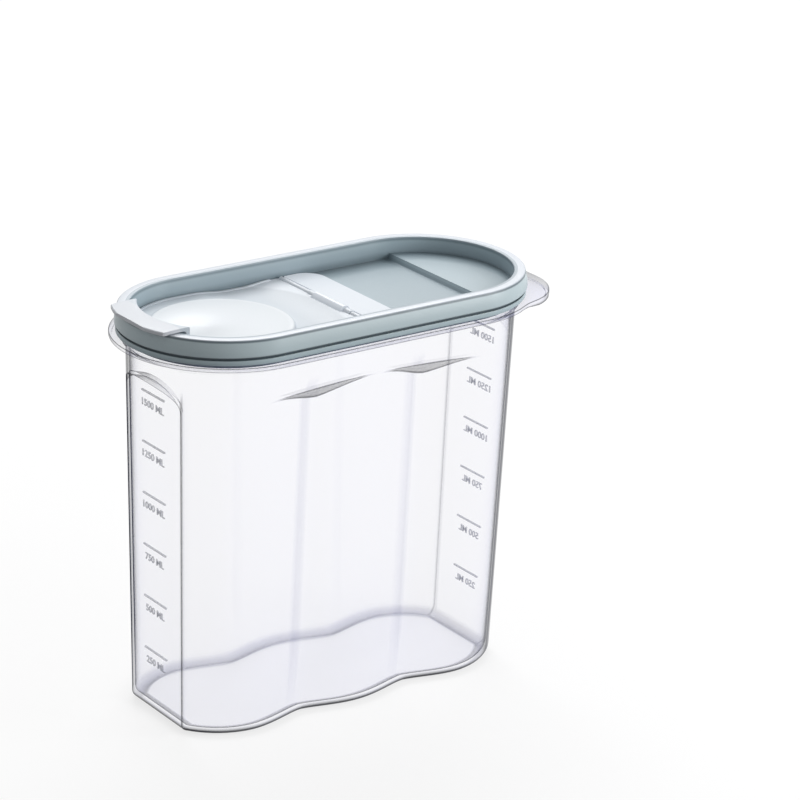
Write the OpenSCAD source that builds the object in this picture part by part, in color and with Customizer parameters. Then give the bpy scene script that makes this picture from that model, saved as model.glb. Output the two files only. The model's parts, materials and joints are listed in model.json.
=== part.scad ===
// Pouring canister for cereal: a clear container with a rim flange and a lift tab, a lid with a
// sunk top, a round pour opening, and a flap that swings on a snap-in axle.
// Millimetres. The container stands on z = 0, centred on x = 0 and y = 0. The flap opens at -x.

/* [Container body] */
// Distance between the centres of the two round ends
end_spacing = 103.2; // [80:0.2:160]
// Outer radius of the round ends at the floor
floor_radius = 35.4; // [34:0.1:37]
// Outer radius of the round ends just below the shoulder
mouth_radius = 39.6; // [38:0.1:40]
// Height of the underside of the rim flange
flange_height = 166.8; // [140:0.1:220]
// Wall thickness of the body
body_wall = 1.3; // [1:0.1:1.6]
// Thickness of the floor
floor_thickness = 1.6; // [1.2:0.1:2.4]
// Radius of the rounded bottom edge
foot_radius = 4; // [3:0.1:7]
// Radius of the rounded corner between the inside of the wall and the floor
floor_round = 4.5; // [2:0.1:6]

/* [End panels] */
// Distance from the middle to each flat end panel, at the floor
panel_reach = 81.15; // [79:0.05:82]
// Lean of the end panels away from upright
panel_draft = 1.4; // [1:0.1:1.5]
// Height of the arched top of each panel
panel_top = 154.3; // [145:0.1:157]
// Height of the arch above the straight sides of the panel
panel_arch = 9.4; // [6:0.1:12]
// Width of the sloping edge of the panel arch
panel_ledge = 1.4; // [0.8:0.1:2]

/* [Side flutes] */
// Width of one flute
flute_width = 54; // [48:0.5:54]
// Depth of a flute at its middle
flute_depth = 5.2; // [2:0.1:7]
// How narrow the bottom of a flute is: 2 is round, and lower values are sharper
flute_sharpness = 1.4; // [1.2:0.1:3]
// Height of the top of the flutes at the ends of a side
flute_top = 149.6; // [130:0.1:152]
// How much higher the top of the flutes is at the middle of a side
flute_arch = 2.6; // [0:0.1:3]
// Height of the sloping ledge that ends each flute
flute_ledge = 6.1; // [5:0.1:10]

/* [Volume marks] */
// Number of marks on each end panel
mark_count = 6; // [3:1:6]
// Height of the lowest mark
mark_first = 29.2; // [20:0.1:32]
// Rise from the lowest mark to the next
mark_step = 24; // [16:0.1:24]
// How much shorter each further step is, because the body widens upwards
mark_step_loss = 0.33; // [0:0.01:0.5]
// Length of a mark
mark_length = 17; // [8:0.5:24]
// Height of a mark
mark_height = 1; // [0.6:0.1:1.6]
// How far a mark stands out of the panel
mark_relief = 0.4; // [0.2:0.1:0.8]

/* [Rim of the container] */
// Height of the shoulder under the rim flange, where the body widens to the neck
shoulder_height = 4; // [3:0.5:8]
// Thickness of the rim flange
flange_thickness = 1.5; // [1.2:0.1:2.5]
// How far the rim flange reaches past the neck
flange_width = 4.9; // [4:0.1:6]
// Inner radius of the neck at the round ends
neck_radius = 40.3; // [40.3:0.1:40.6]
// Wall thickness of the neck
neck_wall = 1.4; // [1:0.1:1.6]
// Height of the neck above the flange
neck_height = 7; // [5:0.1:7.5]
// How far the lift tab reaches past the rim flange
tab_overhang = 6.5; // [5:0.1:16]
// Width of the lift tab
tab_width = 75; // [60:1:78]
// Corner radius of the lift tab
tab_corner = 27; // [15:1:30]
// Height of the bead under the edge of the rim flange
flange_bead = 0.4; // [0.3:0.1:1]
// Height of the skirt under the edge of the lift tab
tab_skirt = 1.5; // [1:0.1:3]

/* [Lid] */
// Height of the lid rim above the flange
rim_height = 10.7; // [10.4:0.1:14]
// How far the top of the rim reaches past the neck
rim_cover = 1.6; // [1.2:0.1:2]
// Radius of the rounded outer edge of the top of the rim
crest_round = 0.8; // [0.5:0.1:1.2]
// How far the upper band swells beyond the top of the rim
band_swell = 1; // [0.6:0.1:1.4]
// Height of the lower band, up to the shadow groove
lower_band = 2.2; // [1.6:0.1:3]
// Height of the shadow groove between the bands
groove_height = 1.1; // [0.4:0.1:1.4]
// Depth of the shadow groove
groove_depth = 0.8; // [0.6:0.1:1]
// Gap between the lid and the inside of the neck
neck_gap = 0.5; // [0.4:0.1:0.5]
// Wall thickness of the lid
lid_wall = 1.5; // [1.2:0.1:1.5]
// Thickness of the sunk floors of the lid
lid_floor = 1.4; // [1.1:0.1:1.6]
// Height of the lowest floor, under the flap, below the top of the flange
seat_drop = 0.8; // [0.5:0.1:1]
// Step up from the lowest floor to the middle floor
middle_step = 2; // [1.6:0.1:2.4]
// Step up from the middle floor to the raised floor
raised_step = 2.4; // [1:0.1:4]
// Distance from the axle to the step up to the middle floor
step_offset = 4.5; // [4:0.1:5]
// Distance from the middle to the step up to the raised floor
raised_reach = 59.4; // [40:0.2:75]
// Radius of the pour opening
pour_radius = 29; // [29:0.1:30]
// Depth of the collar round the pour opening
collar_depth = 4.6; // [3:0.1:6]

/* [Seal] */
// Height of the seal ring
seal_height = 2; // [1.2:0.1:2.4]
// Gap between the seal ring and each wall beside it
seal_gap = 0.2; // [0.1:0.05:0.2]

/* [Flap] */
// Thickness of the flap
flap_wall = 1.3; // [1:0.1:1.4]
// Gap between the flap and the wall round it
flap_gap = 0.6; // [0.5:0.05:0.8]
// Height of the flap's rim above the lowest floor, at the pouring end
flap_high = 3.2; // [3:0.1:3.4]
// Height of the flap above the lowest floor, in the dip beside the disc
flap_low = 1.7; // [1.6:0.1:2]
// Radius of the round disc of the flap
disc_radius = 30.5; // [29.5:0.1:31.5]
// Height of the disc above the lowest floor
disc_height = 4; // [3.8:0.1:4.4]
// Height of the bead along the edge of the flap
flap_bead = 0.4; // [0.2:0.05:0.5]
// Gap between the plug ring of the flap and the pour opening
plug_gap = 0.6; // [0.5:0.05:0.9]
// Wall thickness of the plug ring
plug_wall = 1.2; // [1:0.1:1.5]
// How far the plug ring reaches below the lowest floor
plug_depth = 3.4; // [2:0.1:3.6]
// Radius of the rounded edge of the disc
disc_round = 1.6; // [1:0.1:2]
// Distance from the middle of the disc to the start of the dip beside it
dip_start = 9; // [5:1:12]
// Distance from the middle of the disc to the lowest part of the dip
dip_bottom = 27; // [22:1:29]
// Distance from the axle to the end of the lowest part of the dip
dip_end = 19.5; // [15:0.5:21]
// Distance from the axle to the level root of the flap
root_run = 6.5; // [5:0.5:8]
// Depth of the thumb hollow in the disc
thumb_depth = 0.4; // [0.2:0.1:0.6]
// Radius of the round end of the thumb hollow
thumb_radius = 8; // [5:0.5:10]
// Width of the sloping edge of the thumb hollow
thumb_slope = 1.2; // [0.5:0.1:2]
// Distance from the middle of the disc to the round end of the thumb hollow
thumb_offset = 13.5; // [8:0.5:20]

/* [Latch lip] */
// Width of the lip that hooks over the rim
lip_width = 40; // [30:1:44]
// Distance from the wall inside the rim to the inner face of the lip
lip_setback = 3.3; // [3.1:0.1:3.8]
// Thickness of the lip
lip_wall = 1.4; // [1.1:0.1:1.5]
// Height of the lip above the top of the rim
lip_rise = 1.9; // [1.8:0.1:2.4]
// How far the round outer edge of the lip reaches past the rim
lip_overhang = 2.5; // [2.3:0.1:3]
// How much of that round edge the straight front cuts off
lip_trim = 1.2; // [1:0.1:1.6]
// Radius of the front corners of the lip
lip_corner = 5; // [2:0.5:8]

/* [Hinge] */
// Distance from the middle to the flap axle
axle_reach = 2.9; // [0:0.1:4]
// Height of the axle above the lowest floor
axle_height = 2.4; // [2.3:0.05:2.5]
// Radius of the flap axle
axle_radius = 1.2; // [1:0.05:1.25]
// Radial gap between the axle and its clip
axle_gap = 0.05; // [0.03:0.01:0.08]
// Length of the clip block that holds the axle
clip_length = 21; // [20:1:32]
// Radius of the round back of the clip block
clip_radius = 2.3; // [2.2:0.1:2.6]
// Gap between the clip block and the flap round it
clip_clearance = 0.8; // [0.6:0.1:1.5]
// Part of the axle width that the mouth of the clip leaves open
clip_mouth = 0.85; // [0.75:0.01:0.9]
// Thickness of the hinge plate
plate_thickness = 1.2; // [1:0.1:1.5]
// Gap between the axle and the edge of the hinge plate
plate_gap = 0.7; // [0.5:0.05:0.9]
// Width of the hinge plate beyond its edge at the axle
plate_width = 15.1; // [12:0.1:20]
// Distance from the free edge of the hinge plate to its pegs
peg_inset = 6.4; // [5:0.1:8]
// Radius of the free corners of the hinge plate
plate_corner = 9; // [4:0.5:11]
// Radius of the pegs that fix the hinge plate to the lid
peg_radius = 1.6; // [1.2:0.1:2]
// Distance between the pegs
peg_spacing = 44; // [30:1:56]
// Radial gap between a peg and its hole
peg_gap = 0.1; // [0.05:0.01:0.2]
// Radius of the riveted head of a peg
head_radius = 2.6; // [2.3:0.1:3]
// Height of the riveted head of a peg
head_height = 1; // [0.8:0.1:1.5]

/* [Hidden] */
$fn = 96;
mid = end_spacing / 2;
over = 1;

// Heights and radii of the rim of the container
flange_top = flange_height + flange_thickness;
neck_outer = neck_radius + neck_wall;
neck_top = flange_top + neck_height;
flange_radius = neck_outer + flange_width;
tab_reach = mid + flange_radius + tab_overhang;
tab_side = tab_width / 2 - tab_corner;
tab_end = tab_reach - tab_corner;
bead_wall = 1.4;

// Places along the height of the body; its top is buried in the rim flange
shoulder_low = flange_height - shoulder_height;
shoulder_high = flange_height - 1.5;
body_end = flange_height + flange_thickness / 2;
buried = 0.2;

// Heights and radii of the lid
rim_radius = neck_outer + rim_cover;
well_radius = neck_radius - neck_gap - lid_wall;
rim_top = flange_top + rim_height;
band_radius = rim_radius + band_swell;
low_band_radius = band_radius - 0.5;
groove_low = flange_top + lower_band;
groove_high = groove_low + groove_height;
plug_radius = well_radius + lid_wall;
skirt_radius = neck_outer + 0.4;
channel_top = neck_top + seal_height;
seat = flange_top - seat_drop;
plug_bottom = seat - lid_floor;
middle_floor = seat + middle_step;
raised_floor = middle_floor + raised_step;
step_reach = axle_reach + step_offset;
step_run = 0.4;
riser_run = 1;
collar_wall = 1.2;
well_round = 0.6;

// Heights and radii of the flap
flap_radius = well_radius - flap_gap;
flap_edge = 1.1;
flap_end = -mid - flap_radius - over;
axle_z = seat + axle_height;
axle_half = flap_radius - 0.7;
knuckle_radius = axle_radius + 0.35;
knuckle_length = 4;
notch_half = clip_length / 2 + 0.6;
notch_reach = axle_reach - clip_radius - clip_clearance;
root_height = axle_height + 0.3;
root_reach = axle_reach - root_run;
dip = [-mid + dip_start, -mid + dip_bottom, axle_reach - dip_end];
thumb_reach = -mid - thumb_offset;
plug_ring_radius = pour_radius - plug_gap;
lip_inner_radius = well_radius - lip_setback;
lip_outer_radius = rim_radius + lip_overhang;
lip_reach = mid + lip_outer_radius - lip_trim;
lip_top = rim_top + lip_rise;
lip_under = rim_top + 0.4;
lip_low = rim_top;
lip_edge = 1.5;
lip_round = 0.7;
lip_foot = seat + flap_high - flap_wall / 2;

// Places of the hinge plate
plate_start = axle_reach + axle_radius + plate_gap;
plate_end = plate_start + plate_width;
plate_half = well_radius - 0.8;
peg_x = plate_end - peg_inset;

// Columns of the outline of the body, in one quarter from the middle of an end to the middle of a side
panel_columns = [0, 0.25, 0.5, 0.7, 0.85, 0.95];
arc_columns = [0, 0.13, 0.28, 0.43, 0.58, 0.72, 0.86];
side_columns = 16;
panel_count = len(panel_columns);
side_start = panel_count + len(arc_columns);
quarter_count = side_start + side_columns;
column_count = 4 * quarter_count;

// Rings of the body, as [kind, value]: a foot ring at an angle, a share of the way up to the edge of the
// recesses, the top of the recesses, a share of the way from there to the shoulder, or a height
foot = 0;
lower = 1;
edge = 2;
upper = 3;
level = 4;
outer_rings = concat(
    [for (turn = [0 : 22.5 : 90]) [foot, turn]],
    [for (share = [0.25 : 0.25 : 1]) [lower, share]],
    [[edge, 0], [upper, 0.5], [upper, 1], [level, shoulder_high], [level, body_end]]
);
inner_rings = concat(
    [for (turn = [0 : 30 : 90]) [foot, turn]],
    [for (share = [0.25 : 0.25 : 1]) [lower, share]],
    [[edge, 0], [upper, 0.5], [upper, 1], [level, shoulder_high], [level, body_end]]
);

function blend(a, b, share) = a + (b - a) * share;
function smooth(a, b, share) = blend(a, b, share * share * (3 - 2 * share));

// Radius of the round ends at a height; skin is 0 outside and the wall thickness inside
function end_radius(z, skin) =
    z <= shoulder_low
        ? blend(floor_radius, mouth_radius, z / shoulder_low) - skin
        : blend(
            mouth_radius - skin,
            skin == 0 ? neck_outer - buried : neck_radius + 1.5 * buried,
            min(1, (z - shoulder_low) / (shoulder_high - shoulder_low))
        );

// Distance to the flat end panel, and half the width of the panel
function panel_x(z, skin) = panel_reach + z * tan(panel_draft) - skin;
function panel_half(z, skin, inset) =
    sqrt(pow(end_radius(z, skin) - inset, 2) - pow(panel_x(z, skin) - inset - mid, 2));

// Depth of the flutes at a distance from the middle of a side, the arched line of their tops, and the depth
// with the sloping ledge under that line
function flute(x) =
    abs(x) >= flute_width
        ? 0
        : flute_depth * (1 - pow(abs(sin(90 * (2 * abs(x) / flute_width - 1))), flute_sharpness));
function flute_edge(x) = flute_top + flute_arch * max(0, 1 - pow(x / mid, 2));
function flute_inset(x, z, skin) =
    min(flute(x), max(0, flute_edge(x) + lift(skin) - z) * flute_depth / flute_ledge);

// The inside of a ledge lies higher than its outside, so that the wall keeps its thickness
function lift(skin) = 0.8 * skin;

// Distance of a side column from the middle; one column runs down the bottom of a flute
function side_x(column) =
    let (share = 2 * (column - side_start) / side_columns)
    share < 1 ? blend(mid, flute_width / 2, share) : blend(flute_width / 2, 0, share - 1);

// Top of the recess in a column, and the height of its ledge
function recess_top(column) =
    column < panel_count
        ? panel_top - panel_arch * (1 - sqrt(1 - pow(panel_columns[column], 2)))
        : column < side_start
            ? blend(panel_top - panel_arch, flute_top, arc_columns[column - panel_count])
            : flute_edge(side_x(column));
function recess_ledge(column) =
    column < panel_count
        ? panel_ledge
        : column < side_start
            ? blend(panel_ledge, 0.3, arc_columns[column - panel_count])
            : max(0.3, flute(side_x(column)) * flute_ledge / flute_depth);

// Point of the outline in the first quarter
function quarter_point(column, z, skin, inset, recessed) =
    let (
        radius = end_radius(z, skin) - inset,
        half = panel_half(min(z, panel_top), skin, inset)
    )
    column < panel_count
        ? let (y = half * panel_columns[column])
            [recessed ? panel_x(z, skin) - inset : mid + sqrt(radius * radius - y * y), y]
        : column < side_start
            ? let (
                turn = blend(asin(half / radius), 90, arc_columns[column - panel_count]),
                x = mid + radius * cos(turn)
            )
                [x, radius * sin(turn) - flute_inset(x, z, skin)]
            : [side_x(column), radius - flute_inset(side_x(column), z, skin)];

// The quarters are mirror images; an index runs once round the body
function quarter_column(index) =
    let (quarter = floor(index / quarter_count), step = index % quarter_count)
    quarter % 2 == 0 ? step : quarter_count - step;
function turned(point, quarter) =
    [
        quarter == 0 || quarter == 3 ? point[0] : -point[0],
        quarter < 2 ? point[1] : -point[1]
    ];

// Radius of the rounded corner at the floor, outside and inside
function foot_round(skin) = skin == 0 ? foot_radius : floor_round;

function ring_height(ring, column, skin) =
    let (
        foot_top = foot_round(skin) + (skin == 0 ? 0 : floor_thickness),
        top = recess_top(column) + lift(skin)
    )
    ring[0] == foot
        ? foot_top - foot_round(skin) * cos(ring[1])
        : ring[0] == lower
            ? blend(foot_top, top - recess_ledge(column), ring[1])
            : ring[0] == edge
                ? top
                : ring[0] == upper
                    ? blend(top, shoulder_low, ring[1])
                    : ring[1];
function ring_point(ring, index, skin) =
    let (
        column = quarter_column(index),
        z = ring_height(ring, column, skin),
        inset = ring[0] == foot ? foot_round(skin) * (1 - sin(ring[1])) : 0,
        point = quarter_point(column, z, skin, inset, ring[0] < edge),
        placed = turned(point, floor(index / quarter_count))
    )
    [placed[0], placed[1], z];

// Number of a point in the list, which has all outer rings first and then the inner ones
function at(ring, index) = ring * column_count + index % column_count;

// Body of the container: a drafted wall, a closed floor, and an open top
module body_shell() {
    last_outer = len(outer_rings) - 1;
    first_inner = len(outer_rings);
    last_inner = first_inner + len(inner_rings) - 1;
    around = [0 : column_count - 1];
    under_middle = at(last_inner + 1, 0);
    points = concat(
        [for (ring = outer_rings) for (i = around) ring_point(ring, i, 0)],
        [for (ring = inner_rings) for (i = around) ring_point(ring, i, body_wall)],
        [[0, 0, 0], [0, 0, floor_thickness]]
    );
    outside = [
        for (r = [0 : last_outer - 1]) for (i = around)
            [at(r, i), at(r + 1, i), at(r + 1, i + 1), at(r, i + 1)]
    ];
    inside = [
        for (r = [first_inner : last_inner - 1]) for (i = around)
            [at(r, i), at(r, i + 1), at(r + 1, i + 1), at(r + 1, i)]
    ];
    top = [
        for (i = around)
            [at(last_outer, i), at(last_inner, i), at(last_inner, i + 1), at(last_outer, i + 1)]
    ];
    underside = [for (i = around) [under_middle, at(0, i), at(0, i + 1)]];
    bottom = [for (i = around) [under_middle + 1, at(first_inner, i + 1), at(first_inner, i)]];
    polyhedron(points, concat(outside, inside, top, underside, bottom), convexity = 8);
}

// Solid with the plan of the container
module solid_round(radius, low, high) {
    for (side = [-1, 1])
        translate([side * mid, 0, low])
            cylinder(r = radius, h = high - low);
    translate([-mid, -radius, low])
        cube([end_spacing, 2 * radius, high - low]);
}

// Wall that follows the plan of the container
module wall_round(radius, thickness, low, high) {
    difference() {
        solid_round(radius, low, high);
        solid_round(radius - thickness, low - over, high + over);
    }
}

// Half profile of radius and height, carried round both ends and along both sides
module profile_round() {
    for (side = [-1, 1])
        translate([side * mid, 0, 0])
            rotate([0, 0, -90 * side])
                rotate_extrude(angle = 180)
                    children();
    for (side = [0, 1])
        mirror([0, side, 0])
            translate([-mid, 0, 0])
                rotate([90, 0, 90])
                    linear_extrude(end_spacing)
                        children();
}

// Lift tab at +x, from the middle of the round end outwards
module tab_solid(inset, low, high) {
    for (side = [-1, 1])
        translate([tab_end, side * tab_side, low])
            cylinder(r = tab_corner - inset, h = high - low);
    translate([mid, inset - tab_width / 2, low])
        cube([tab_end - mid, tab_width - 2 * inset, high - low]);
    translate([mid, -tab_side, low])
        cube([tab_reach - inset - mid, 2 * tab_side, high - low]);
}

// Rim flange with the lift tab
module rim_solid(inset, low, high) {
    solid_round(flange_radius - inset, low, high);
    tab_solid(inset, low, high);
}

// Bead under the edge of the flange, and the deeper skirt under the edge of the lift tab
module rim_beads() {
    low = flange_height - flange_bead;
    skirt_low = flange_height - tab_skirt;
    difference() {
        rim_solid(0, low, flange_top);
        rim_solid(bead_wall, low - over, flange_height);
    }
    difference() {
        tab_solid(0, skirt_low, flange_top);
        tab_solid(bead_wall, skirt_low - over, flange_height);
        solid_round(flange_radius - bead_wall, skirt_low - over, flange_height);
    }
}

module rim() {
    difference() {
        union() {
            rim_solid(0, flange_height, flange_top);
            rim_beads();
            solid_round(neck_outer, flange_height, neck_top);
        }
        solid_round(neck_radius, flange_height - tab_skirt - over, neck_top + over);
    }
}

function mark_z(i) = mark_first + i * mark_step - mark_step_loss * i * (i - 1) / 2;

module volume_marks() {
    for (side = [-1, 1])
        for (i = [0 : mark_count - 1])
            translate([side * panel_x(mark_z(i), 0), 0, mark_z(i)])
                rotate([0, side * panel_draft, 0])
                    cube([2 * mark_relief, mark_length, mark_height], center = true);
}

module container() {
    color([0.86, 0.89, 0.92, 0.4]) {
        body_shell();
        rim();
        volume_marks();
    }
}

// Section of the rim of the lid: the plug wall, the channel for the neck, and the two outer bands
module rim_section() {
    groove_radius = low_band_radius - groove_depth;
    polygon(concat(
        [
            [well_radius, plug_bottom],
            [plug_radius, plug_bottom],
            [plug_radius, channel_top],
            [skirt_radius, channel_top],
            [skirt_radius, flange_top],
            [low_band_radius - 0.2, flange_top],
            [low_band_radius, flange_top + 0.3],
            [low_band_radius, groove_low - 0.3],
            [low_band_radius - 0.2, groove_low],
            [groove_radius, groove_low + 0.1],
            [groove_radius, groove_high - 0.1],
            [band_radius - 0.4, groove_high]
        ],
        [
            for (share = [1 : -0.25 : 0.25])
                [
                    rim_radius + band_swell * sin(90 * share),
                    blend(rim_top - crest_round, groove_high + 0.5, share)
                ]
        ],
        [
            for (turn = [0 : 30 : 90])
                [
                    rim_radius - crest_round * (1 - cos(turn)),
                    rim_top - crest_round * (1 - sin(turn))
                ]
        ],
        [
            for (turn = [0 : 30 : 90])
                [
                    well_radius + well_round * (1 - sin(turn)),
                    rim_top - well_round * (1 - cos(turn))
                ]
        ]
    ));
}

// Floors of the lid in three levels, joined by risers of the same thickness
module floor_sheet() {
    far = mid + band_radius;
    top_line = [
        [-far, seat],
        [step_reach, seat],
        [step_reach + step_run, middle_floor],
        [raised_reach, middle_floor],
        [raised_reach + riser_run, raised_floor],
        [far, raised_floor]
    ];
    bottom_line = [
        [far, raised_floor - lid_floor],
        [raised_reach + riser_run + lid_floor, raised_floor - lid_floor],
        [raised_reach + lid_floor, middle_floor - lid_floor],
        [step_reach + step_run + lid_floor, middle_floor - lid_floor],
        [step_reach + lid_floor, seat - lid_floor],
        [-far, seat - lid_floor]
    ];
    intersection() {
        solid_round(well_radius + lid_wall / 3, plug_bottom, raised_floor);
        rotate([90, 0, 0])
            linear_extrude(2 * plug_radius, center = true)
                polygon(concat(top_line, bottom_line));
    }
}

module lid() {
    color([0.70, 0.76, 0.79])
        difference() {
            union() {
                profile_round()
                    rim_section();
                floor_sheet();
                translate([-mid, 0, seat - collar_depth])
                    cylinder(r = pour_radius + collar_wall, h = collar_depth - lid_floor / 2);
            }
            translate([-mid, 0, seat - collar_depth - over])
                cylinder(r = pour_radius, h = collar_depth + 2 * over);
            for (side = [-1, 1])
                translate([peg_x, side * peg_spacing / 2, middle_floor - lid_floor / 2])
                    cylinder(r = peg_radius + peg_gap, h = lid_floor + 2 * over, center = true);
        }
}

module lid_seal() {
    color([0.90, 0.90, 0.88])
        wall_round(
            skirt_radius - seal_gap,
            skirt_radius - plug_radius - 2 * seal_gap,
            neck_top,
            channel_top
        );
}

// Height of the top of the flap above the lowest floor, along the length of the lid
function flap_line(x) =
    x < dip[0]
        ? flap_high
        : x < dip[1]
            ? smooth(flap_high, flap_low, (x - dip[0]) / (dip[1] - dip[0]))
            : x < dip[2]
                ? flap_low
                : x < root_reach
                    ? smooth(flap_low, root_height, (x - dip[2]) / (root_reach - dip[2]))
                    : root_height;

function flap_stations(last) = concat(
    [flap_end],
    [for (share = [0 : 0.125 : 1]) blend(dip[0], dip[1], share)],
    [for (share = [0 : 0.125 : 1]) blend(dip[2], root_reach, share)],
    [last]
);

// Slab between two distances from the top of the flap, out to the station last
module flap_slab(below, above, last) {
    stations = flap_stations(last);
    count = len(stations) - 1;
    rotate([90, 0, 0])
        linear_extrude(2 * well_radius, center = true)
            polygon(concat(
                [for (x = stations) [x, seat + flap_line(x) + above]],
                [for (i = [0 : count]) let (x = stations[count - i]) [x, seat + flap_line(x) - below]]
            ));
}

module flap_plate() {
    intersection() {
        solid_round(flap_radius, seat, rim_top);
        flap_slab(flap_wall, 0, axle_reach);
    }
    intersection() {
        wall_round(flap_radius, flap_edge, seat, rim_top);
        flap_slab(flap_wall / 2, flap_bead, root_reach + over);
    }
    intersection() {
        wall_round(flap_radius, flap_edge, seat, seat + flap_high - flap_wall / 2);
        translate([flap_end, -well_radius, seat - over])
            cube([dip[0] - flap_end, 2 * well_radius, rim_height]);
    }
}

// Outline of the disc from its middle to its foot, with a round edge
module disc_section() {
    round_edge = [
        for (turn = [90 : -18 : 0])
            [
                disc_radius - disc_round * (1 - cos(turn)),
                seat + disc_height - disc_round * (1 - sin(turn))
            ]
    ];
    polygon(concat([[0, seat], [0, seat + disc_height]], round_edge, [[disc_radius, seat]]));
}

module disc_and_plug() {
    translate([-mid, 0, 0])
        rotate_extrude()
            disc_section();
    translate([-mid, 0, seat - plug_depth])
        cylinder(r = plug_ring_radius, h = plug_depth + flap_wall);
}

// Hollow for the thumb, with sloping sides, from its round end out to the lip
module thumb_hollow() {
    low_radius = thumb_radius - thumb_slope;
    top_radius = thumb_radius + thumb_slope * over / thumb_depth;
    translate([thumb_reach, 0, seat + disc_height - thumb_depth]) {
        cylinder(r1 = low_radius, r2 = top_radius, h = thumb_depth + over);
        rotate([90, 0, -90])
            linear_extrude(disc_radius + mid + thumb_reach)
                polygon([
                    [-low_radius, 0],
                    [low_radius, 0],
                    [top_radius, thumb_depth + over],
                    [-top_radius, thumb_depth + over]
                ]);
    }
}

module disc_hollows() {
    disc_under = seat + disc_height - thumb_depth - flap_wall;
    translate([-mid, 0, seat - over])
        difference() {
            cylinder(r = disc_radius - flap_wall, h = disc_under - seat + over);
            cylinder(r = plug_ring_radius, h = disc_under - seat + over);
        }
    translate([-mid, 0, seat - plug_depth - over])
        cylinder(r = plug_ring_radius - plug_wall, h = disc_under - seat + plug_depth + over);
    thumb_hollow();
}

// Block from x = 0 to a length, with its two far corners rounded
module tongue(length, half, corner, height) {
    straight = half - corner;
    intersection() {
        translate([0, -half, 0])
            cube([length, 2 * half, height]);
        union() {
            translate([0, -half, 0])
                cube([length - corner, 2 * half, height]);
            translate([0, -straight, 0])
                cube([length, 2 * straight, height]);
            for (side = [-1, 1])
                translate([length - corner, side * straight, 0])
                    cylinder(r = corner, h = height);
        }
    }
}

// Outline of the lip: up its inner face, out over the rim and back under
module lip_section() {
    outer_face = lip_inner_radius + lip_wall;
    round_top = [
        for (turn = [0 : 30 : 90])
            [lip_inner_radius + lip_round * (1 - cos(turn)), lip_top - lip_round * (1 - sin(turn))]
    ];
    slope = [
        for (share = [0.25 : 0.25 : 1])
            [
                blend(lip_inner_radius + lip_round, lip_outer_radius - lip_round / 2, share),
                blend(lip_top, lip_low + lip_edge, share * share)
            ]
    ];
    polygon(concat(
        [[lip_inner_radius, lip_foot]],
        round_top,
        slope,
        [
            [lip_outer_radius, lip_low + lip_edge - lip_round / 2],
            [lip_outer_radius, lip_low],
            [lip_outer_radius - lip_wall, lip_low],
            [rim_radius, lip_under],
            [outer_face + lip_round, lip_under],
            [outer_face, lip_under - lip_round],
            [outer_face, lip_foot]
        ]
    ));
}

module latch_lip() {
    intersection() {
        translate([-mid, 0, 0])
            rotate_extrude()
                lip_section();
        translate([-mid, 0, lip_foot - over])
            rotate([0, 0, 180])
                tongue(lip_reach - mid, lip_width / 2, lip_corner, lip_top);
    }
}

module axle() {
    translate([axle_reach, 0, axle_z])
        rotate([90, 0, 0])
            cylinder(r = axle_radius, h = 2 * axle_half, center = true);
    for (side = [-1, 1])
        translate([axle_reach, side * (notch_half + knuckle_length / 2), axle_z])
            rotate([90, 0, 0])
                cylinder(r = knuckle_radius, h = knuckle_length, center = true);
}

module flap() {
    color([0.95, 0.96, 0.96]) {
        difference() {
            union() {
                difference() {
                    flap_plate();
                    translate([notch_reach, -notch_half, seat - over])
                        cube([axle_reach - notch_reach + over, 2 * notch_half, rim_height]);
                }
                disc_and_plug();
            }
            disc_hollows();
        }
        latch_lip();
        axle();
    }
}

module plate_sheet() {
    translate([plate_start, 0, middle_floor])
        tongue(plate_width, plate_half, plate_corner, plate_thickness);
}

// Clip with a round back, open below, so that the axle snaps into it from underneath
module clip_block() {
    mouth = 2 * axle_radius * clip_mouth;
    difference() {
        union() {
            translate([axle_reach - clip_radius, -clip_length / 2, seat])
                cube([2 * clip_radius, clip_length, axle_height]);
            translate([axle_reach, 0, axle_z])
                rotate([90, 0, 0])
                    cylinder(r = clip_radius, h = clip_length, center = true);
        }
        translate([axle_reach, 0, axle_z])
            rotate([90, 0, 0])
                cylinder(r = axle_radius + axle_gap, h = clip_length + 2 * over, center = true);
        translate([axle_reach - mouth / 2, -clip_length / 2 - over, seat - over])
            cube([mouth, clip_length + 2 * over, axle_height + over]);
    }
}

module pegs() {
    under = middle_floor - lid_floor;
    for (side = [-1, 1])
        translate([peg_x, side * peg_spacing / 2, under - head_height]) {
            cylinder(r = peg_radius, h = head_height + lid_floor + plate_thickness / 2);
            cylinder(r = head_radius, h = head_height);
        }
}

module hinge_plate() {
    color([0.95, 0.96, 0.96]) {
        plate_sheet();
        clip_block();
        pegs();
    }
}

container();
lid();
lid_seal();
flap();
hinge_plate();
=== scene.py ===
"""Clear food container with a sunk lid and a pouring flap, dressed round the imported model.

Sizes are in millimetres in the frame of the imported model. Each finished mesh is scaled to metres once.
"""

from __future__ import annotations

import json
import logging
import math
from collections.abc import Iterable, Sequence
from dataclasses import dataclass, field
from enum import Enum

import bmesh
import bpy
from mathutils import Matrix, Vector

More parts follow.
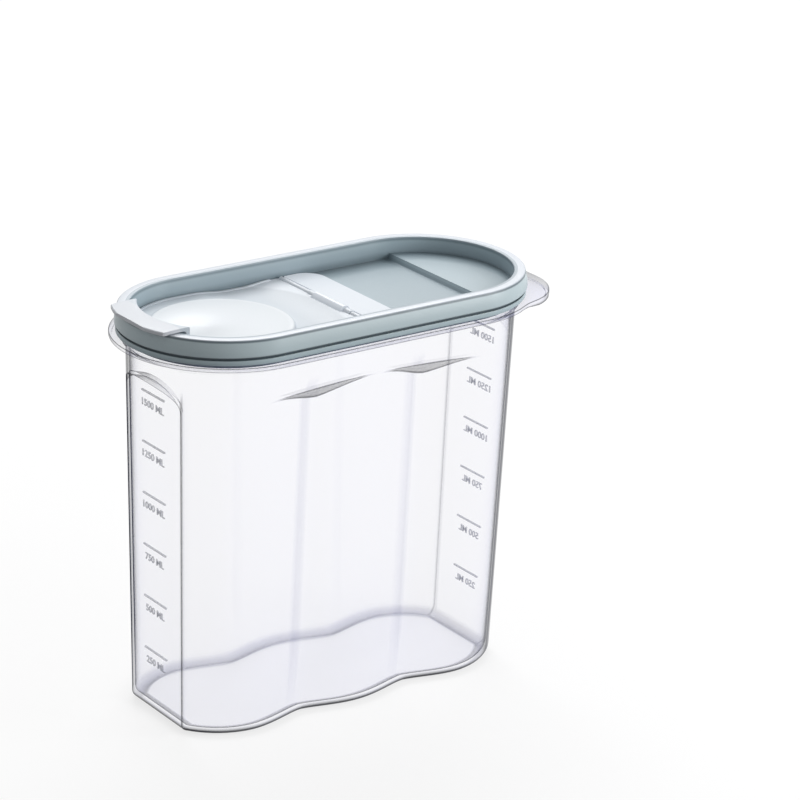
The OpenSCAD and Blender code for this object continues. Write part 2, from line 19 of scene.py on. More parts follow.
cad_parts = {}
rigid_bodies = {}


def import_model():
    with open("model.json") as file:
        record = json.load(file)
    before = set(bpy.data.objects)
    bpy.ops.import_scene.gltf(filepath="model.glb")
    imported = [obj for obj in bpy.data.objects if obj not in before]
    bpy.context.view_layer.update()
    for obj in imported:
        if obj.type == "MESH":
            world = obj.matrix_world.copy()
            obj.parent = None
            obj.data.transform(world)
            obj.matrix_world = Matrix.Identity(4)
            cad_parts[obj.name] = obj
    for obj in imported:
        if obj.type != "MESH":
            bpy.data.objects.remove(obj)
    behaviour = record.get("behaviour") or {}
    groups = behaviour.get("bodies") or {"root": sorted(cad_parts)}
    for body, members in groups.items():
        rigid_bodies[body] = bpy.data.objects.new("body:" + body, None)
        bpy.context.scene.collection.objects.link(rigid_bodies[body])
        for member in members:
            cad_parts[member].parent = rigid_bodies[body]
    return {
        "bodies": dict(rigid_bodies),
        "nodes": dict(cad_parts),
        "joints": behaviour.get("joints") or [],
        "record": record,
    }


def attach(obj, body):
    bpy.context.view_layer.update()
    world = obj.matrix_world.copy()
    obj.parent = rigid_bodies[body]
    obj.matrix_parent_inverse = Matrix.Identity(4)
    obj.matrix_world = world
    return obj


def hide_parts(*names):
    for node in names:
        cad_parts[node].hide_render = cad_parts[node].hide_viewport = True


LOG = logging.getLogger("container")
MM = 0.001
# From the middle of the object to the centre of each round end.
END_MIDDLE = 51.6
# Below this, in millimetres or degrees, two places count as the same.
SLACK = 0.01
# Layers of the container's mesh. The second and third say where painted lines of shade and painted corner
# shade, standing in for refraction, go.
LEVEL_LAYER = "level"
SHADE_LINE_LAYER = "fold"
CORNER_LAYER = "corner"
Point = tuple[float, float]
Colour = tuple[float, float, float]
Coords = tuple[float, float, float]
Stops = Sequence[tuple[float, Colour]]
Inputs = dict[str | int, object] | None


class Body(Enum):
    """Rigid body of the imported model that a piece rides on."""

    CONTAINER = "container"
    LID = "lid"
    FLAP = "flap"


class Slot(Enum):
    """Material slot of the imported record."""

    CLEAR = "clear"
    LID = "lid"
    SEAL = "seal"
    WHITE = "white"


def linear(colour: Colour) -> tuple[float, float, float, float]:
    """Turns a display colour into the linear colour that a shader takes.

    Args:
        colour: Red, green and blue from 0 to 255.

    Returns:
        Linear red, green and blue from 0 to 1, and an alpha of 1.
    """
    shares = [value / 255 for value in colour]
    red, green, blue = [s / 12.92 if s <= 0.04045 else ((s + 0.055) / 1.055) ** 2.4 for s in shares]
    return red, green, blue, 1.0


def blend(low: float, high: float, share: float) -> float:
    """Returns the value at a share of the way from low to high."""
    return low + (high - low) * share


def add_object(name: str, data: bpy.types.ID) -> bpy.types.Object:
    """Adds an object to the scene.

    Args:
        name: Name of the object.
        data: Its mesh, camera or lamp.

    Returns:
        The object, at the origin.
    """
    added = bpy.data.objects.new(name, data)
    bpy.context.scene.collection.objects.link(added)
    return added


class Wire:
    """Output socket of a shader node. Arithmetic on it adds Math nodes."""

    def __init__(self, graph: Graph, socket: bpy.types.NodeSocket) -> None:
        """Wraps an output socket of a node in a graph."""
        self.graph = graph
        self.socket = socket

    def _math(self, operation: str, first: Wire | float, second: Wire | float) -> Wire:
        """Returns the result of a Math node on two values."""
        return self.graph.out("ShaderNodeMath", {"operation": operation}, {0: first, 1: second})

    def __add__(self, other: Wire | float) -> Wire:
        """Returns the sum."""
        return self._math("ADD", self, other)

    def __sub__(self, other: Wire | float) -> Wire:
        """Returns the difference."""
        return self._math("SUBTRACT", self, other)

    def __rsub__(self, other: Wire | float) -> Wire:
        """Returns the difference from a number."""
        return self._math("SUBTRACT", other, self)

    def __mul__(self, other: Wire | float) -> Wire:
        """Returns the product."""
        return self._math("MULTIPLY", self, other)

    def __pow__(self, other: float) -> Wire:
        """Returns the power."""
        return self._math("POWER", self, other)

    def at_most(self, limit: float) -> Wire:
        """Returns the smaller of this and a limit."""
        return self._math("MINIMUM", self, limit)

    def at_least(self, limit: float) -> Wire:
        """Returns the larger of this and a limit."""
        return self._math("MAXIMUM", self, limit)

    def above(self, limit: float) -> Wire:
        """Returns 1 where this is above a limit, and 0 elsewhere."""
        return self._math("GREATER_THAN", self, limit)

    def size(self) -> Wire:
        """Returns the value without its sign."""
        return self._math("ABSOLUTE", self, 0.0)


class Graph:
    """Node tree of one material or of the world."""

    def __init__(self, owner: bpy.types.Material | bpy.types.World) -> None:
        """Empties the tree.

        Args:
            owner: Material or world that the tree belongs to.
        """
        owner.use_nodes = True
        self.owner = owner
        self.tree = owner.node_tree
        self.tree.nodes.clear()

    def node(self, kind: str, settings: Inputs = None, sockets: Inputs = None) -> bpy.types.Node:
        """Adds a node.

        Args:
            kind: Type of the node.
            settings: Properties that are set first; "stops" gives the colours of a ramp by position.
            sockets: Values or links of the inputs, by name or number.

        Returns:
            The node.
        """
        node = self.tree.nodes.new(kind)
        for name, value in (settings or {}).items():
            if name == "stops":
                self._set_stops(node.color_ramp, value)
            else:
                setattr(node, name, value)
        for name, value in (sockets or {}).items():
            if isinstance(value, Wire):
                self.tree.links.new(value.socket, node.inputs[name])
            else:
                node.inputs[name].default_value = value
        return node

    def out(self, kind: str, settings: Inputs = None, sockets: Inputs = None, output: str | int = 0) -> Wire:
        """Adds a node, as node() does, and wraps the output of the given name or number."""
        return Wire(self, self.node(kind, settings, sockets).outputs[output])

    @staticmethod
    def _set_stops(ramp: bpy.types.ColorRamp, stops: dict[float, Sequence[float]]) -> None:
        """Gives a ramp its stops.

        Args:
            ramp: Ramp with two stops.
            stops: Colours by position.
        """
        while len(ramp.elements) < len(stops):
            ramp.elements.new(0.5)
        for element, (position, colour) in zip(ramp.elements, sorted(stops.items())):
            element.position = position
            element.color = colour

    def finish(self, shader: Wire) -> bpy.types.Material:
        """Links the finished shader to the output, and returns the material."""
        self.node("ShaderNodeOutputMaterial", sockets={"Surface": shader})
        return self.owner

    def place(self) -> Wire:
        """Returns Object coordinates, which are metres in the frame of the model."""
        return self.out("ShaderNodeTexCoord", output="Object")

    def layer(self, name: str) -> Wire:
        """Returns what a layer of the mesh says at each place."""
        return self.out("ShaderNodeAttribute", {"attribute_name": name}, output="Fac")

    def noise(self, scale: float, detail: float = 3.0) -> Wire:
        """Returns a noise from 0 to 1, with its waves in a metre and its number of finer layers."""
        sockets = {"Vector": self.place(), "Scale": scale, "Detail": detail}
        return self.out("ShaderNodeTexNoise", sockets=sockets)

    def bump(self, height: Wire, distance: float) -> Wire:
        """Returns the normal for a height from 0 to 1, with the distance in metres that it has at 1."""
        return self.out("ShaderNodeBump", sockets={"Height": height, "Distance": distance})

    def tint(self, share: Wire, first: Wire | Colour, second: Wire | Colour, how: str = "MIX") -> Wire:
        """Mixes two colours.

        Args:
            share: Share of the second colour.
            first: Colour at 0.
            second: Colour at 1.
            how: How the second colour goes onto the first.

        Returns:
            The colour.
        """
        mixed = self.node("ShaderNodeMix", {"data_type": "RGBA", "blend_type": how})
        sockets = [s for s in mixed.inputs if s.enabled]
        for socket, value in zip(sockets, (share, first, second)):
            if isinstance(value, Wire):
                self.tree.links.new(value.socket, socket)
            else:
                socket.default_value = linear(value)
        return Wire(self, next(s for s in mixed.outputs if s.enabled))

    def coordinates(self) -> tuple[Wire, Wire, Wire]:
        """Splits the place in the frame of the model.

        Returns:
            The place along x, y and z, in millimetres.
        """
        split = self.node("ShaderNodeSeparateXYZ", sockets={"Vector": self.place()})
        x, y, z = (Wire(self, socket) * (1 / MM) for socket in split.outputs)
        return x, y, z

    def reach(self, x: Wire, y: Wire) -> Wire:
        """Returns the length of a level vector, from its parts along x and y."""
        vector = self.out("ShaderNodeCombineXYZ", sockets={"X": x, "Y": y})
        return self.out("ShaderNodeVectorMath", {"operation": "LENGTH"}, {0: vector}, "Value")

    def ramp(self, value: Wire, stops: Stops) -> Wire:
        """Adds a colour that follows a value.

        Args:
            value: Value that is looked up.
            stops: Values with their display colours, in order.

        Returns:
            The colour.
        """
        low, high = stops[0][0], stops[-1][0]
        share = (value - low) * (1 / (high - low))
        colours = {(at - low) / (high - low): linear(colour) for at, colour in stops}
        return self.out("ShaderNodeValToRGB", {"stops": colours}, {"Fac": share})

    def seen_directly(self) -> Wire:
        """Tells what is seen from what is lit.

        Returns:
            1 for rays from the camera, by mirror or through clear plastic, and 0 for light.
        """
        outputs = self.node("ShaderNodeLightPath").outputs
        kinds = ("Camera", "Glossy", "Transmission")
        camera, mirror, through = (Wire(self, outputs[f"Is {kind} Ray"]) for kind in kinds)
        return (camera + mirror + through).at_most(1.0)


@dataclass(frozen=True)
class MouldedFinish:
    """Moulded plastic with a fine grain, a faint mottle and, where set, a painted glow."""

    name: str
    colour: Colour
    shade: Colour
    roughness: float = 0.42
    roughness_spread: float = 0.12
    cloud: float = 28.0
    cloud_share: float = 0.6
    painted_shade: float = 0.35
    grain: float = 1400.0
    grain_height: float = 0.00004
    coat: float = 0.0
    coat_roughness: float = 0.2
    # Painted glow, as the strength of light given off in the base colour.
    painted_glow: float = 0.0
    see_through: float = 0.0

    def paint(self, graph: Graph) -> Wire | None:
        """Returns the colour with painted light and shade that stands in for the plain one, from its place
        on the piece, or None.
        """
        return None

    def build(self) -> bpy.types.Material:
        """Builds the material.

        Returns:
            The material.
        """
        graph = Graph(bpy.data.materials.new(self.name))
        cloud = graph.noise(self.cloud)
        grain = graph.noise(self.grain, detail=2.0)
        mottle = cloud * self.cloud_share + grain * (1.0 - self.cloud_share)
        painted = self.paint(graph)
        if painted is None:
            colour = graph.tint(mottle, self.colour, self.shade)
        else:
            colour = graph.tint(mottle * self.painted_shade, painted, self.shade, "MULTIPLY")
        sockets = {
            "Base Color": colour,
            "Roughness": grain * self.roughness_spread + (self.roughness - self.roughness_spread / 2),
            "Normal": graph.bump(grain, self.grain_height),
            "Coat Weight": self.coat,
            "Coat Roughness": self.coat_roughness,
            "Alpha": 1.0 - self.see_through,
        }
        # Painted glow: the piece gives off its own base colour as light, which lifts its shaded sides.
        if self.painted_glow:
            sockets["Emission Color"] = colour
            sockets["Emission Strength"] = self.painted_glow
        return graph.finish(graph.out("ShaderNodeBsdfPrincipled", sockets=sockets))


@dataclass(frozen=True)
class LidFinish(MouldedFinish):
    """Plastic of the lid, with painted shadow in its groove, painted shade in its well and a painted
    highlight on its crest.

    The walls get painted light and shade by height, and the floors get painted shade by distance from the
    line between the end centres.
    """

    wall_from: float = 38.2
    crest_middle: float = 39.9
    raised_from: float = 170.7
    # Painted light and shade on the outside by height: painted shadow in the groove, a painted dark line of
    # shade at the edge of the crest and a painted highlight on the crest.
    outer_wall_shading: Stops = (
        (168.0, (166, 184, 190)), (170.2, (182, 199, 204)), (170.6, (62, 78, 86)),
        (171.5, (62, 78, 86)), (171.9, (184, 200, 205)), (177.6, (190, 205, 210)),
        (178.1, (104, 118, 126)), (178.5, (104, 118, 126)), (178.85, (196, 203, 211)),
        (179.0, (212, 217, 224)),
    )
    # Painted shade on the wall of the well by height, darkest at its foot, with a painted dark line and a
    # painted highlight at the crest.
    inner_wall_shading: Stops = (
        (167.0, (104, 120, 127)), (170.4, (120, 136, 144)), (173.0, (150, 166, 174)),
        (177.0, (158, 174, 181)), (178.0, (118, 133, 140)), (178.6, (146, 159, 167)),
        (179.0, (170, 181, 189)),
    )
    # Painted shade on both floors, darker towards the wall of the well.
    middle_floor_shading: Stops = (
        (16.0, (154, 170, 178)), (26.0, (148, 164, 172)), (34.0, (130, 146, 154)),
        (38.3, (90, 105, 113)),
    )
    raised_floor_shading: Stops = (
        (16.0, (170, 186, 193)), (26.0, (164, 180, 187)), (34.0, (142, 158, 166)),
        (38.3, (96, 111, 119)),
    )

    def paint(self, graph: Graph) -> Wire:
        """Paints shade on the floors and on the wall of the well, then light and shade on the outside.

        Args:
            graph: Graph of the material.

        Returns:
            The colour at each place on the lid.
        """
        x, y, z = graph.coordinates()
        radius = graph.reach((x.size() - END_MIDDLE).at_least(0.0), y)
        middle_floor_shading = graph.ramp(radius, self.middle_floor_shading)
        raised_floor_shading = graph.ramp(radius, self.raised_floor_shading)
        floor = graph.tint(z.above(self.raised_from), middle_floor_shading, raised_floor_shading)
        well = graph.tint(radius.above(self.wall_from), floor, graph.ramp(z, self.inner_wall_shading))
        return graph.tint(radius.above(self.crest_middle), well, graph.ramp(z, self.outer_wall_shading))


@dataclass(frozen=True)
class FlapFinish(MouldedFinish):
    """White plastic of the flap, with painted highlights at the edge of its disc and on its axle, and
    painted shade round the disc, on its arm and on its lip.
    """

    # Painted light and shade by distance from the disc's centre: a painted highlight at the disc's edge,
    # painted shade round it and on the arm, and a painted highlight on the axle.
    shade_and_highlights: Stops = (
        (0.0, (212, 217, 222)), (27.0, (214, 219, 223)), (29.2, (222, 226, 230)),
        (30.2, (190, 198, 206)), (31.5, (196, 204, 211)), (38.0, (196, 203, 210)),
        (51.0, (199, 205, 211)), (53.2, (220, 225, 231)), (57.0, (220, 225, 231)),
    )
    lip_start: float = 85.0
    # Painted shade on the lip.
    lip_shade_colour: Colour = (205, 209, 215)

    def paint(self, graph: Graph) -> Wire:
        """Paints highlights and shade on the disc, the arm towards the hinge and the lip.

        Args:
            graph: Graph of the material.

        Returns:
            The colour at each place on the flap.
        """
        x, y, _ = graph.coordinates()
        along = x + END_MIDDLE
        shaded_colour = graph.ramp(graph.reach(along, y).at_least(along), self.shade_and_highlights)
        return graph.tint((x * -1.0).above(self.lip_start), shaded_colour, self.lip_shade_colour)


@dataclass(frozen=True)
class ClearFinish:
    """Clear moulded plastic: nearly unseen face on, with painted shade standing in for refraction on the
    slant, in the thick corners and along edges, ledges and flute flanks.
    """

    name: str
    colour: Colour = (182, 186, 250)
    # Colour of the painted shade that stands in for refraction on slants, edges and corners.
    refraction_shade_colour: Colour = (24, 32, 56)
    face_alpha: float = 0.03
    slant_alpha: float = 3.5
    slant_power: float = 9.0
    corner_alpha: float = 1.6
    corner_power: float = 4.0
    line_alpha: float = 0.95
    hidden_loss: float = 0.82
    dark_tint: float = 4.0
    line_tint: float = 2.4
    roughness: float = 0.06
    ripple: float = 60.0
    ripple_height: float = 0.00006
    ripple_roughness: float = 0.06
    refraction: float = 1.45
    mirror_level: float = 0.1

    def build(self) -> bpy.types.Material:
        """Builds the material.

        Returns:
            The material.
        """
        graph = Graph(bpy.data.materials.new(self.name))
        slant = graph.out("ShaderNodeLayerWeight", sockets={"Blend": 0.5}, output="Facing")
        behind = graph.out("ShaderNodeNewGeometry", output="Backfacing")
        ripple = graph.noise(self.ripple, detail=2.0)
        # Painted shade standing in for refraction: along the lines in the mesh layer, on the slant and in
        # the thick corners beside the end panels.
        line = graph.layer(SHADE_LINE_LAYER) * (1.0 - behind * self.hidden_loss)
        corner_shade = slant**self.corner_power * graph.layer(CORNER_LAYER) * (1.0 - behind) * self.corner_alpha
        dark = slant**self.slant_power * self.slant_alpha + corner_shade
        tinted = (dark * self.dark_tint + line * self.line_tint).at_most(1.0)
        shader = graph.out(
            "ShaderNodeBsdfPrincipled",
            sockets={
                "Base Color": graph.tint(tinted, self.colour, self.refraction_shade_colour),
                "Roughness": ripple * self.ripple_roughness + self.roughness,
                "IOR": self.refraction,
                "Specular IOR Level": self.mirror_level,
                "Normal": graph.bump(ripple, self.ripple_height),
                "Alpha": (dark + line * self.line_alpha + self.face_alpha).at_most(1.0),
            },
        )
        return graph.finish(shader)


class Draft:
    """Mesh in the making, in millimetres."""

    def __init__(self) -> None:
        """Starts an empty mesh."""
        self.bm = bmesh.new()

    def finish(self, name: str, finish: bpy.types.Material, crease: float = 30.0) -> bpy.types.Object:
        """Makes the object, scaled to metres and shaded smooth between its sharp edges.

        Args:
            name: Name of the piece.
            finish: Material.
            crease: Angle in degrees past which an edge is sharp.

        Returns:
            The object, at the origin.
        """
        for face in self.bm.faces:
            face.smooth = True
        for edge in self.bm.edges:
            edge.smooth = edge.calc_face_angle(0.0) < math.radians(crease)
        bmesh.ops.scale(self.bm, vec=[MM] * 3, verts=self.bm.verts)
        mesh = bpy.data.meshes.new(name)
        self.bm.to_mesh(mesh)
        self.bm.free()
        mesh.materials.append(finish)
        return add_object(name, mesh)


def dress(piece: bpy.types.Object, body: Body, node: str | None = None) -> None:
    """Puts a piece on its body.

    Args:
        piece: Finished piece.
        body: Body that it rides on.
        node: CAD node that it stands for, if any.
    """
    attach(piece, body.value)
    if node:
        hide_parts(node)
    LOG.info("%s: %d faces on %s", piece.name, len(piece.data.polygons), body.value)


@dataclass
class Plan:
    """Round-ended plan of the container, with the columns of its mesh.

    Each turn is an angle in degrees with its number of steps. The edge turns go from a straight side to
    just past the vertical edge of an end panel.
    """

    middle: float = END_MIDDLE
    edge_turns: Sequence[tuple[float, int]] = (
        (35.5, 7), (1.0, 1), (3.9, 1), (14.9, 4), (1.5, 1), (1.5, 1)
    )
    panel_turn: tuple[float, int] = (63.4, 22)
    side_steps: int = 36
    merge_distance: float = 0.002

    def sweep(self, draft: Draft, profile: Sequence[Point]) -> None:
        """Carries an open profile of radius and height round both ends and along both sides.

        Args:
            draft: Mesh to add to, which gets a layer with the number of the profile's point.
            profile: Points of the profile.
        """
        bm = draft.bm
        level = bm.verts.layers.int.new(LEVEL_LAYER)
        verts = [bm.verts.new((self.middle, -radius, height)) for radius, height in profile]
        for number, vert in enumerate(verts):
            vert[level] = number
        edges = [bm.edges.new(pair) for pair in zip(verts, verts[1:])]
        turns = (*self.edge_turns, self.panel_turn, *reversed(self.edge_turns))
        for side in (1, -1):
            for turn, steps in turns:
                spun = bmesh.ops.spin(
                    bm,
                    geom=edges + list({v for e in edges for v in e.verts}),
                    cent=(side * self.middle, 0, 0),
                    axis=(0, 0, 1),
                    angle=math.radians(turn),
                    steps=steps,
                )
                edges = [part for part in spun["geom_last"] if isinstance(part, bmesh.types.BMEdge)]
            for _ in range(self.side_steps):
                grown = bmesh.ops.extrude_edge_only(bm, edges=edges)["geom"]
                edges = [part for part in grown if isinstance(part, bmesh.types.BMEdge)]
                moved = list({v for e in edges for v in e.verts})
                step = -side * 2 * self.middle / self.side_steps
                bmesh.ops.translate(bm, verts=moved, vec=(step, 0, 0))
                edges = [e for e in edges if e.is_boundary or not e.link_faces]
        bmesh.ops.remove_doubles(bm, verts=bm.verts, dist=self.merge_distance)
        bmesh.ops.recalc_face_normals(bm, faces=bm.faces)


class Ring(Enum):
    """What sets the height of a ring of the body."""

    FOOT = 0
    LOWER = 1
    LEDGE = 2
    UPPER = 3
    LEVEL = 4


@dataclass(frozen=True)
class BodyRing:
    """One ring of the body, outside or inside.

    The value is an angle on the foot, a share of the way up the lower part, the ledge or the upper part,
    or a height. The line is how strongly the painted edge line of shade shows there, from 0 to 1.
    """

    kind: Ring
    value: float
    skin: float
    rise: float = 0.0
    line: float = 0.0


@dataclass
class Container:
    """Clear container: body with fluted sides and arched end panels, rim flange, lift tab and neck.

    A skin is given as 0 for the outside, or as the wall for the inside.
    """

    plan: Plan = field(default_factory=Plan)
    # Walls, and the rounded corners at the floor.
    wall: float = 1.3
    floor: float = 1.6
    floor_radius: float = 35.4
    mouth_radius: float = 39.6
    foot: float = 4.0
    floor_round: float = 4.5
    # End panels, with the draft and the turn in degrees.
    panel_reach: float = 81.15
    panel_draft: float = 1.4
    panel_top: float = 154.3
    panel_arch: float = 9.4
    panel_ledge: float = 1.4
    panel_turn: float = 33.2
    # Flutes. Inside, all recesses end higher by a share of the wall, the inner lift.
    flute_width: float = 54.0
    flute_depth: float = 5.2
    flute_sharpness: float = 1.4
    flute_top: float = 149.6
    flute_arch: float = 2.6
    flute_ledge: float = 6.1
    least_ledge: float = 0.3
    inner_lift: float = 0.8
    # Shoulder, flange, the bead under the edge of the flange, and neck.
    shoulder_drop: float = 4.0
    shoulder_rise: float = 2.5
    flange_height: float = 166.8
    flange_thickness: float = 1.5
    flange_radius: float = 46.6
    flange_round: float = 0.45
    flange_corner: float = 0.13
    bead: float = 0.4
    bead_wall: float = 1.4
    bead_round: float = 0.25
    bead_foot: float = 0.3
    bead_corners: Sequence[Point] = ((0.1, 0.15), (0.12, 0.14))
    neck_radius: float = 40.3
    neck_wall: float = 1.4
    neck_height: float = 7.0
    neck_round: float = 0.3
    neck_overlap: float = 0.2
    bore_overlap: float = 0.3
    # Lift tab.
    tab_reach: float = 104.7
    tab_side: float = 10.5
    tab_corner: float = 27.0
    tab_skirt: float = 1.5
    tab_blend: float = 3.0
    tab_from: float = 2.0
    # Weights of the painted edge lines of shade, which stand in for refraction, and of the painted shade
    # down the flute flanks, and where the painted shade of the thick corners beside the panels ends, in
    # degrees.
    panel_line: float = 0.8
    panel_line_turn: float = 1.6
    inner_panel_line: float = 0.5
    inner_ledge_line: float = 0.1
    rim_lines: Sequence[float] = (*[0.0] * 5, 0.2, 0.75, 0.14, 0.16, 0.9, 0.1, 0.08, 0.05, *[0.0] * 5)
    ledge_line_depth: float = 0.8
    flank_line: float = 0.24
    flank_width: float = 3.2
    flank_places: Sequence[float] = (-34.0, 20.0)
    corner_end: float = 62.0
    corner_fade: float = 12.0
    # Rings of the mesh: angle and weight of the painted edge line on the foot, shares of the way up, share,
    # rise and weight of the painted edge line on the ledge, and drops below the flange. The start is where
    # they are before they are placed.
    outer_foot: Sequence[Point] = (
        (0, 1.0), (15, 1.0), (30, 1.0), (45, 1.0), (60, 0.9), (75, 0.4), (90, 0.0)
    )
    inner_foot: Sequence[Point] = ((0, 0.4), (22.5, 0.22), (45, 0.12), (67.5, 0.06), (90, 0.02))
    lower_shares: Sequence[float] = (0.2, 0.4, 0.6, 0.8)
    ledge_steps: Sequence[tuple[float, float, float]] = (
        (0.0, -0.5, 0.0), (0.0, 0.0, 0.8), (0.2, 0.0, 0.42),
        (0.8, 0.0, 0.3), (1.0, 0.0, 0.75), (1.0, 0.4, 0.0),
    )
    upper_shares: Sequence[float] = (0.5, 1.0)
    outer_drops: Sequence[float] = (3.2, 2.4, 1.5)
    inner_drops: Sequence[float] = (2.4, 1.5)
    start_top: float = 150.0
    start_ledge: float = 1.0
    floor_band: float = 1.2
    crease: float = 24.0

    @property
    def shoulder(self) -> float:
        """Height at which the body starts to turn in to the neck."""
        return self.flange_height - self.shoulder_drop

    def end_radius(self, z: float, skin: float) -> float:
        """Radius of the round ends.

        Args:
            z: Height.
            skin: Skin of the body.

        Returns:
            The radius.
        """
        if z <= self.shoulder:
            return blend(self.floor_radius, self.mouth_radius, z / self.shoulder) - skin
        goal = self.neck_radius + (self.bore_overlap if skin else self.neck_wall - self.neck_overlap)
        share = min(1.0, (z - self.shoulder) / self.shoulder_rise)
        return blend(self.mouth_radius - skin, goal, share * share * (3 - 2 * share))

    def panel_x(self, z: float, skin: float) -> float:
        """Returns the distance from the middle to the flat end panel, at a height and for a skin."""
        return self.panel_reach + z * math.tan(math.radians(self.panel_draft)) - skin

    def flute(self, x: float) -> float:
        """Depth of the flutes.

        Args:
            x: Distance from the middle of a side.

        Returns:
            The depth.
        """
        if abs(x) >= self.flute_width:
            return 0.0
        wave = math.sin(math.radians(90 * (2 * abs(x) / self.flute_width - 1)))
        return self.flute_depth * (1 - abs(wave) ** self.flute_sharpness)

    def flute_edge(self, x: float) -> float:
        """Returns the height of the arched line of the flute tops, at a place along a side."""
        return self.flute_top + self.flute_arch * max(0.0, 1 - (x / self.plan.middle) ** 2)

    def flute_inset(self, x: float, z: float, skin: float) -> float:
        """Depth of the flutes with the sloping ledge at their top.

        Args:
            x: Distance from the middle of a side.
            z: Height.
            skin: Skin of the body.

        Returns:
            The depth.
        """
        left = max(0.0, self.flute_edge(x) + self.inner_lift * skin - z)
        return min(self.flute(x), left * self.flute_depth / self.flute_ledge)

    def skin_rings(self, skin: float, foot: Sequence[Point], drops: Sequence[float]) -> list[BodyRing]:
        """Rings of one skin of the body, from the foot to the neck.

        Args:
            skin: Skin of the body.
            foot: Angles on the foot, with the weight of the edge line at each.
            drops: Distances of the last rings below the flange.

        Returns:
            The rings.
        """
        line_share = self.inner_ledge_line if skin else 1.0
        return [
            *(BodyRing(Ring.FOOT, turn, skin, line=line) for turn, line in foot),
            *(BodyRing(Ring.LOWER, share, skin) for share in self.lower_shares),
            *(
                BodyRing(Ring.LEDGE, share, skin, rise, line * line_share)
                for share, rise, line in self.ledge_steps
            ),
            *(BodyRing(Ring.UPPER, share, skin) for share in self.upper_shares),
            *(BodyRing(Ring.LEVEL, self.flange_height - drop, skin) for drop in drops),
        ]

    def rings(self) -> list[BodyRing]:
        """Rings of the body from the outer foot to the neck, then down the inside.

        Returns:
            The rings.
        """
        outer = self.skin_rings(0.0, self.outer_foot, self.outer_drops)
        inner = self.skin_rings(self.wall, self.inner_foot, self.inner_drops)
        return [*outer, *reversed(inner)]

    def rim_points(self) -> list[Point]:
        """Section of the flange with its bead, and of the neck.

        Returns:
            Radius and height of each point.
        """
        under, top = self.flange_height, self.flange_height + self.flange_thickness
        low, high = under - self.bead, top + self.neck_height
        edge, inner = self.flange_radius, self.flange_radius - self.bead_wall
        bore, neck = self.neck_radius, self.neck_radius + self.neck_wall
        inner_corner, outer_corner = self.bead_corners
        return [
            (neck, under),
            (inner - self.bead_round, under),
            (inner, under - self.bead_round),
            (inner + inner_corner[0], low + inner_corner[1]),
            (inner + self.bead_foot, low),
            (edge - self.flange_round, low),
            (edge - outer_corner[0], low + outer_corner[1]),
            (edge, low + self.flange_round),
            (edge, top - self.flange_round),
            (edge - self.flange_corner, top - self.flange_corner),
            (edge - self.flange_round, top),
            (neck + self.neck_round, top),
            (neck, top + self.neck_round),
            (neck, high - self.neck_round),
            (neck - self.neck_round, high),
            (bore + self.neck_round, high),
            (bore, high - self.neck_round),
            (bore, under),
        ]

    def foot_round(self, skin: float) -> float:
        """Returns the radius of the rounded corner at the floor, for a skin."""
        return self.floor_round if skin else self.foot

    def foot_inset(self, ring: BodyRing) -> float:
        """Returns how far the rounded corner at the floor takes a ring in."""
        share = 1 - math.sin(math.radians(ring.value)) if ring.kind is Ring.FOOT else 0.0
        return self.foot_round(ring.skin) * share

    def shape_height(self, ring: BodyRing, top: float, ledge: float) -> float:
        """Height of a ring in one column of the body.

        Args:
            ring: The ring.
            top: Top of the recess in the column.
            ledge: Height of the sloping edge of the recess.

        Returns:
            The height.
        """
        corner = self.foot_round(ring.skin)
        base = self.floor + corner if ring.skin else corner
        top += self.inner_lift * ring.skin
        if ring.kind is Ring.FOOT:
            return base - corner * math.cos(math.radians(ring.value))
        if ring.kind is Ring.LOWER:
            return blend(base, top - ledge, ring.value)
        if ring.kind is Ring.LEDGE:
            return blend(top - ledge, top, ring.value) + ring.rise
        if ring.kind is Ring.UPPER:
            return blend(top, self.shoulder, ring.value)
        return ring.value

    def shade_line_weight(self, ring: BodyRing, ledge: float, corner: float) -> float:
        """How strongly the painted edge line of shade shows at a point.

        Args:
            ring: Ring that the point is on.
            ledge: How far the ledge stands out there, from 0 to 1.
            corner: Nearness to the vertical edge of an end panel, from 0 to 1.

        Returns:
            The weight, from 0 to 1.
        """
        line = ring.line * ledge if ring.kind is Ring.LEDGE else ring.line
        if ring.kind not in (Ring.FOOT, Ring.LOWER, Ring.LEDGE):
            return line
        strength = self.inner_panel_line if ring.skin else 1.0
        return max(line, self.panel_line * corner * strength)

    def place_end(self, ring: BodyRing, x: float, y: float) -> tuple[Vector, float, float]:
        """Moves a point of a round end onto the body.

        Args:
            ring: Ring that the point is on.
            x: Its plain place along the length, from the middle.
            y: Its plain place across.

        Returns:
            The place, for positive x, and the weights of the painted edge line and of the painted corner
            shade.
        """
        turn = math.degrees(math.atan2(abs(y), x - self.plan.middle))
        inside = turn <= self.panel_turn + SLACK
        share = min(1.0, math.sin(math.radians(turn)) / math.sin(math.radians(self.panel_turn)))
        across = (turn - self.panel_turn) / (90 - self.panel_turn)
        rise = self.panel_arch * (1 - math.sqrt(max(0.0, 1 - share * share)))
        corner_top = self.panel_top - self.panel_arch
        top = self.panel_top - rise if inside else blend(corner_top, self.flute_top, across)
        ledge = self.panel_ledge if inside else blend(self.panel_ledge, self.least_ledge, across)
        z = self.shape_height(ring, top, ledge)
        inset = self.foot_inset(ring)
        radius = self.end_radius(z, ring.skin) - inset
        low = min(z, self.panel_top)
        flat = self.panel_x(low, ring.skin) - inset - self.plan.middle
        half = math.sqrt(max(0.0, (self.end_radius(low, ring.skin) - inset) ** 2 - flat**2))
        near = max(0.0, 1 - abs(turn - self.panel_turn) / self.panel_line_turn)
        weights = self.shade_line_weight(ring, 1.0 if inside else 0.0, near), self.corner_weight(ring, turn)
        if inside:
            side = half * share
            out = {Ring.FOOT: 0.0, Ring.LOWER: 0.0, Ring.LEDGE: ring.value}.get(ring.kind, 1.0)
